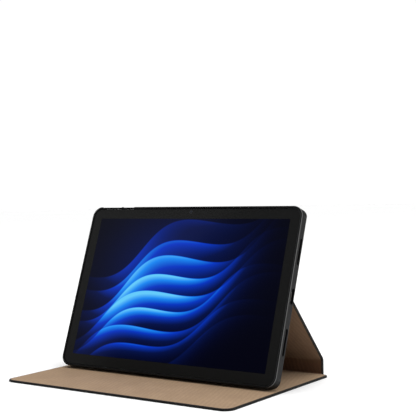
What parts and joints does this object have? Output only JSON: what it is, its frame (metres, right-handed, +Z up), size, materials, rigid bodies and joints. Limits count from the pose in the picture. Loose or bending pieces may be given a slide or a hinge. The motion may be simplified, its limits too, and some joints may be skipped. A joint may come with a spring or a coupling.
{
  "type": "tablet case",
  "caption": "Folding leather stand case for a tablet: front cover, spine, prop flap and hard tray, standing with its tablet.",
  "frame": {"origin": "centre of the front cover's underside, on the surface that the case stands on", "axes": "+X along the tablet's long edge, +Y to the rear where the spine is, +Z up"},
  "size_m": [0.2652, 0.1786, 0.1676],
  "materials": {
    "leather": "fine grained black leather with a soft satin sheen",
    "lining": "tan microfibre",
    "board": "grey board",
    "magnet": "nickel plate",
    "tray": "matt black moulded plastic",
    "film": "adhesive film",
    "tablet_metal": "dark bead-blasted aluminium",
    "screen_glass": "polished black-backed glass",
    "display": "display stack",
    "inner_plate": "stamped plate",
    "battery": "pouch cell",
    "circuit": "circuit board",
    "speaker": "matt",
    "contact_metal": "satin",
    "switch_strip": "flexible circuit",
    "camera_ring": "satin black",
    "lens": "coated lens"
  },
  "bodies": {
    "front_cover": {"cover_skin": "leather", "cover_board": "board", "cover_lining": "lining", "sleep_magnets": "magnet"},
    "spine": {"spine_skin": "leather", "spine_board": "board", "spine_lining": "lining"},
    "back_flap": {"flap_skin": "leather", "flap_board": "board", "flap_lining": "lining"},
    "tray": {"tray_shell": "tray", "back_skin": "leather", "back_board": "board", "bonding_film": "film"},
    "tablet": {"tablet_housing": "tablet_metal", "cover_glass": "screen_glass", "display_panel": "display", "mid_plate": "inner_plate", "battery": "battery", "mainboard": "circuit", "speakers": "speaker", "charging_port": "contact_metal", "front_camera": "lens", "rear_camera": "camera_ring", "rear_lens": "lens", "microphone": "contact_metal", "key_switches": "switch_strip"},
    "power_key": {"power_key": "tablet_metal"},
    "volume_key": {"volume_key": "tablet_metal"}
  },
  "joints": [
    {"name": "spine_fold", "type": "hinge", "parent": "front_cover", "child": "spine", "pos_m": [0, 0.09025, 0.0005], "axis": [-1, 0, 0], "range_deg": [0, 90]},
    {"name": "flap_fold", "type": "hinge", "parent": "spine", "child": "back_flap", "pos_m": [0, 0.09025, 0.0165], "axis": [-1, 0, 0], "range_deg": [0, 41.81]},
    {"name": "stand_fold", "type": "hinge", "parent": "back_flap", "child": "tray", "pos_m": [0, 0.02998, 0.08388], "axis": [1, 0, 0], "range_deg": [0, 61.81]},
    {"name": "tablet_lift", "type": "slide", "parent": "tray", "child": "tablet", "axis": [0, -0.9397, 0.342], "range_m": [0, 0.04]},
    {"name": "power_press", "type": "slide", "parent": "tablet", "child": "power_key", "axis": [0, -0.342, -0.9397], "range_m": [0, 0.00025], "stiffness_N_per_m": 4000},
    {"name": "volume_press", "type": "slide", "parent": "tablet", "child": "volume_key", "axis": [0, -0.342, -0.9397], "range_m": [0, 0.00025], "stiffness_N_per_m": 4000}
  ],
  "couplings": [
    {"joint": "flap_fold", "follows": "stand_fold", "ratio": 0.67643}
  ]
}
